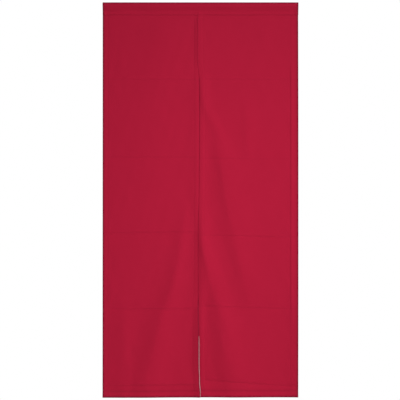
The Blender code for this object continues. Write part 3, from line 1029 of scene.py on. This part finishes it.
def on_sleeve(x_place, end_turn, side, depth, over, lip_turn):
    """Middle of the strip's thickness. side is -1 in front and 1 behind, and over turns up over the rod."""
    from_end = SLEEVE_END - np.abs(x_place)
    end_behind, end_past = turned(0.0, LIP_STEP, end_turn)
    x = x_place + np.sign(x_place) * end_past
    at_corner = 1 - smooth((from_end - END_HEM) / CORNER_THINS_OVER)
    stack = LIP_STEP * (1 + 2 * at_corner)
    behind, past_lip = turned(end_behind, stack, lip_turn)
    down = smooth((depth - WALL_FROM) / (NECK_DEPTH - WALL_FROM))
    half = mix(SLEEVE_RADIUS, LIP_HALF, down)
    near_lips = smooth((depth - LIP_SWELL_FROM) / LIP_SWELL_RUN)
    by_lap = bump_at(x - LAP_MIDDLE, LAP_HALF)
    lap_swell = LAP_SWELL * by_lap * np.where(side < 0, 1.0, LAP_SWELL_BEHIND)
    swell = near_lips * (lap_swell + CORNER_SWELL * at_corner)
    front_ripple, back_ripple = (wall_ripples[way](x, depth) for way in (-1, 1))
    front_pucker, back_pucker = (wall_puckers[way](x, depth) for way in (-1, 1))
    at_front = side < 0
    below_round = smooth((depth - RIPPLES_FROM) / RIPPLES_COME_IN)
    on_wall = below_round * (1 - smooth((depth - RIPPLES_TO) / RIPPLES_GO_OUT))
    swell = swell + SLEEVE_RIPPLE * np.where(at_front, front_ripple, back_ripple) * on_wall
    near_stitches = bump_at(depth - SLEEVE_STITCHES + PUCKERS_ABOVE, PUCKERS_REACH)
    swell = swell + SLEEVE_PUCKER * np.where(at_front, front_pucker, back_pucker) * near_stitches
    swell = swell - MIDDLE_CREASE * bump_at(x - MIDDLE_CREASE_X, MIDDLE_CREASE_REACH) * at_front
    by_lip = bump_at(depth - SLEEVE_STITCHES, SLEEVE_GROOVE)
    by_end = bump_at(from_end - END_STITCHES, SLEEVE_GROOVE) * (end_turn < 1)
    pinch = SLEEVE_PINCH * np.maximum(by_lip, by_end)
    out = half + swell - behind - pinch
    y = side * out * np.cos(over)
    z = -depth - past_lip + (half - behind) * np.sin(over)
    return np.stack(np.broadcast_arrays(x, y, z), axis=-1)


def sleeve_rows():
    """Rows round the strip, from the front lip's raw edge over the rod to the back one's."""
    turns = np.linspace(math.pi, 0.0, LIP_TURN_STEPS + 1)
    by_stitches = [SLEEVE_STITCHES + step * MM for step in BY_STITCH_ROWS_MM]
    wall = [LIP_DEPTH, *by_stitches, *np.linspace(NECK_DEPTH, WALL_FROM, WALL_ROWS)]
    rows = [(-1, depth, 0.0, math.pi) for depth in UNDER_LIP_ROWS]
    rows += [(-1, LIP_DEPTH, 0.0, turn) for turn in turns[:-1]]
    rows += [(-1, depth, 0.0, 0.0) for depth in wall]
    rows += [(-1, WALL_FROM, over, 0.0) for over in np.linspace(0.0, math.pi / 2, CROWN_STEPS + 1)[1:]]
    mirrored = [(1, depth, over, turn) for _, depth, over, turn in rows[-2::-1]]
    return np.array(rows + mirrored)


def sleeve_columns():
    """Columns along the strip, from the raw edge of one end's hem to the other's."""
    turns = np.linspace(math.pi, 0.0, LIP_TURN_STEPS + 1)
    hem = np.array(END_HEM_COLUMNS_MM) * MM
    body_to = SLEEVE_END - BODY_CLEAR
    body = np.linspace(0.0, body_to, round(body_to / SLEEVE_STEP))
    half = [(SLEEVE_END - place, math.pi) for place in hem[:0:-1]]
    half += [(SLEEVE_END, turn) for turn in turns[:-1]]
    half += [(SLEEVE_END - place, 0.0) for place in hem] + [(place, 0.0) for place in body[::-1]]
    mirrored = [(-place, turn) for place, turn in half[-2::-1]]
    return np.array(half + mirrored)[::-1]


columns = sleeve_columns()
rows = sleeve_rows()
x_place, end_turn = (values[None, :] for values in columns.T)
side, depth, over, lip_turn = (values[:, None] for values in rows.T)
points = on_sleeve(x_place, end_turn, side, depth, over, lip_turn)
middle_column = points[:, points.shape[1] // 2]
middle_row = points[len(rows) // 2]
cut_round, cut_long = (
    np.concatenate([[0.0], np.cumsum(np.linalg.norm(np.diff(line, axis=0), axis=1))])
    for line in (middle_column, middle_row)
)

# Painted shade darkens the strip along its end folds, its lips and the crown over the rod. LIP_ROW is where
# the front lip's fold starts, counted in rows from the raw edge under it
CROWN_SHADE_REACH = 20 * MM
LIP_SHADE_SHARE = 0.25
LIP_ROW = len(UNDER_LIP_ROWS) - 0.5
half_turn = math.pi / 2 * LIP_STEP / 2
end_folds = (END_HEM + half_turn, cut_long[-1] - END_HEM - half_turn)
lip_folds = -np.interp((LIP_ROW, len(rows) - 1 - LIP_ROW), np.arange(len(rows)), cut_round)
sleeve_shade_lines = [PaintedShadeLine("X", place, FOLD_REACH, 1.0) for place in end_folds]
sleeve_shade_lines += [PaintedShadeLine("Y", place, STITCH_REACH, LIP_SHADE_SHARE) for place in lip_folds]
sleeve_shade_lines.append(PaintedShadeLine("Y", -cut_round[-1] / 2, CROWN_SHADE_REACH, 1.0))
sleeve_weave = crimson_plain_weave("rod_sleeve_weave", sleeve_shade_lines)
plain = np.full(points.shape[:2], CLOTH)
sleeve = cloth_sheet("rod_sleeve_cloth", points[::-1], cut_long, cut_round[::-1], plain, sleeve_weave)
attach(sleeve, "root")
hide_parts("rod_sleeve")

# Stitches along both lips, and round the strip by both ends
half_seam = SLEEVE_WIDTH / 2 - STITCH_LINE_STEP
long_way = np.arange(-half_seam, half_seam, STITCH_LINE_STEP)
sleeve_runs = []
for way, outward in ((-1, FRONT), (1, BACK)):
    line = on_sleeve(long_way, 0.0, way, SLEEVE_STITCHES, 0.0, 0.0)
    sleeve_runs.append(run_of_stitches(line + outward * CLOTH / 2, outward))
outside_lips = rows[rows[:, -1] == 0.0]
side, depth, over, lip_turn = outside_lips.T
for way in (-1, 1):
    line = on_sleeve(way * (SLEEVE_END - END_STITCHES), 0.0, side, depth, over, lip_turn)
    outward = np.stack([0 * over, side * np.cos(over), np.sin(over)], axis=-1)
    sleeve_runs.append(run_of_stitches(line + outward * CLOTH / 2, outward))
sleeve_thread = thread_piece("rod_sleeve_thread", sleeve_runs, hem_thread)


# The studio
# A white surround, a broad soft key from the right and above, a small soft box in front, a fill from behind,
# a small pale floor below the hanging curtain, and a camera level with its middle.

# The floor, and the camera: its distance, the photo's width, a pixel's width at the cloth, and its place.
# AMBIENT is the strength of the surround's light
FLOOR_DROP = 1.95
FLOOR_RADIUS = 1.4
FLOOR_SIDES = 96
CAMERA_AWAY = 6.0
PHOTO_PIXELS = 400
PIXEL_AT_CLOTH = 4.348 * MM
CAMERA_X = -2.2 * MM
CAMERA_Z = -858 * MM
AMBIENT = 0.10

floor_mesh = bpy.data.meshes.new("floor")
rim_turns = np.arange(FLOOR_SIDES) * math.tau / FLOOR_SIDES
rim = [(FLOOR_RADIUS * math.cos(turn), FLOOR_RADIUS * math.sin(turn), -FLOOR_DROP) for turn in rim_turns]
floor_mesh.from_pydata(rim, [], [tuple(range(FLOOR_SIDES))])
floor_finish = bpy.data.materials.new("pale_floor")
floor_finish.use_nodes = True
floor_surface = floor_finish.node_tree.nodes["Principled BSDF"]
floor_surface.inputs["Base Color"].default_value = (0.78, 0.77, 0.75, 1.0)
floor_surface.inputs["Roughness"].default_value = 0.9
floor_mesh.materials.append(floor_finish)
floor = bpy.data.objects.new("floor", floor_mesh)
bpy.context.scene.collection.objects.link(floor)

# Each lamp's direction from the curtain's middle, with azimuths from the front round to the viewer's right
Lamp = namedtuple("Lamp", "name azimuth_deg elevation_deg away size power")
LAMPS = (
    Lamp("key", 57, 21, 10.0, 9.0, 980),
    Lamp("front_fill", 8, 6, 1.6, 0.9, 13.4),
    Lamp("back_fill", 232, 20, 12.0, 6.0, 1200),
)
for lamp in LAMPS:
    light = bpy.data.lights.new(lamp.name, "AREA")
    light.shape = "DISK"
    light.size = lamp.size
    light.energy = lamp.power
    source = bpy.data.objects.new(lamp.name, light)
    azimuth, elevation = math.radians(lamp.azimuth_deg), math.radians(lamp.elevation_deg)
    level = lamp.away * math.cos(elevation)
    raised = CAMERA_Z + lamp.away * math.sin(elevation)
    source.location = (level * math.sin(azimuth), -level * math.cos(azimuth), raised)
    source.rotation_euler = (math.pi / 2 - elevation, 0.0, azimuth)
    source.visible_camera = False
    bpy.context.scene.collection.objects.link(source)

surround = bpy.data.worlds.new("white_surround")
surround.use_nodes = True
tree = surround.node_tree
seen = tree.nodes["Background"]
seen.inputs["Color"].default_value = (1.0, 1.0, 1.0, 1.0)
seen.inputs["Strength"].default_value = 1.0
lighting = tree.nodes.new("ShaderNodeBackground")
lighting.inputs["Color"].default_value = (1.0, 1.0, 1.0, 1.0)
lighting.inputs["Strength"].default_value = AMBIENT
rays = tree.nodes.new("ShaderNodeLightPath")
choice = tree.nodes.new("ShaderNodeMixShader")
tree.links.new(rays.outputs["Is Camera Ray"], choice.inputs["Fac"])
tree.links.new(lighting.outputs["Background"], choice.inputs[1])
tree.links.new(seen.outputs["Background"], choice.inputs[2])
tree.links.new(choice.outputs["Shader"], tree.nodes["World Output"].inputs["Surface"])
bpy.context.scene.world = surround
bpy.context.scene.view_settings.view_transform = "Standard"

lens = bpy.data.cameras.new("camera")
lens.sensor_width = 36.0
lens.lens = lens.sensor_width * CAMERA_AWAY / (PHOTO_PIXELS * PIXEL_AT_CLOTH)
camera = bpy.data.objects.new("camera", lens)
camera.location = (CAMERA_X, -CAMERA_AWAY, CAMERA_Z)
camera.rotation_euler = (math.pi / 2, 0.0, 0.0)
bpy.context.scene.collection.objects.link(camera)
bpy.context.scene.camera = camera
